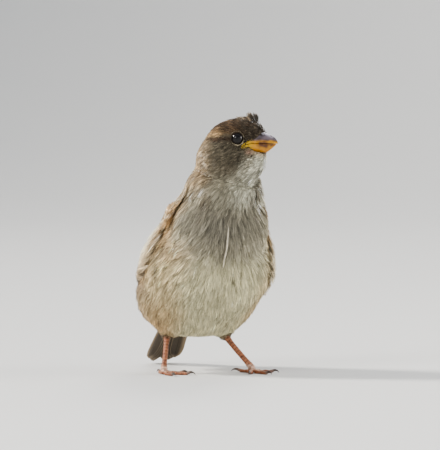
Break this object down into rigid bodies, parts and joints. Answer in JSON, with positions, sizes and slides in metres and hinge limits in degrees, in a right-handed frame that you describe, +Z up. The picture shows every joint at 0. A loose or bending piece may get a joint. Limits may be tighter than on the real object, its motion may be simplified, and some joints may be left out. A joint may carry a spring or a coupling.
{
  "type": "house sparrow",
  "caption": "House sparrow standing upright with its head turned to its left, a ruffled tuft on the forecrown and the tail held down behind.",
  "frame": {"origin": "on the floor under the middle of the bird's bounding box", "axes": "+Z up; the body faces -Y and its left side is on +X, with the head turned towards +X"},
  "size_m": [0.0636, 0.1056, 0.1232],
  "materials": {
    "trunk_plumage": "soft overlapping feathers, buff grey, paler on the belly",
    "neck_plumage": "soft overlapping feathers, grey brown",
    "head_plumage": "short dense feathers, grey brown, darker on the crown",
    "wing_feathers": "stiff overlapping vanes, dark brown with buff edges",
    "tail_feathers": "stiff narrow vanes, dark grey brown with pale edges",
    "leg_plumage": "short soft feathers",
    "eye": "wet gloss",
    "upper_bill_horn": "satin horn, grey lilac with a yellow edge",
    "lower_bill_horn": "satin horn, yellow orange",
    "leg_skin": "scaled skin, pinkish orange",
    "claw_horn": "dark horn"
  },
  "bodies": {
    "root": {"trunk": "trunk_plumage", "neck": "neck_plumage", "head": "head_plumage", "bill_upper": "upper_bill_horn", "bill_lower": "lower_bill_horn", "tail": "tail_feathers", "eye_left": "eye", "wing_left": "wing_feathers", "thigh_left": "leg_plumage", "tarsus_left": "leg_skin", "foot_left": "leg_skin", "toe_3_left": "leg_skin", "claw_3_left": "claw_horn", "toe_1_left": "leg_skin", "claw_1_left": "claw_horn", "toe_2_left": "leg_skin", "claw_2_left": "claw_horn", "toe_4_left": "leg_skin", "claw_4_left": "claw_horn", "eye_right": "eye", "wing_right": "wing_feathers", "thigh_right": "leg_plumage", "tarsus_right": "leg_skin", "foot_right": "leg_skin", "toe_3_right": "leg_skin", "claw_3_right": "claw_horn", "toe_1_right": "leg_skin", "claw_1_right": "claw_horn", "toe_2_right": "leg_skin", "claw_2_right": "claw_horn", "toe_4_right": "leg_skin", "claw_4_right": "claw_horn"}
  },
  "joints": []
}
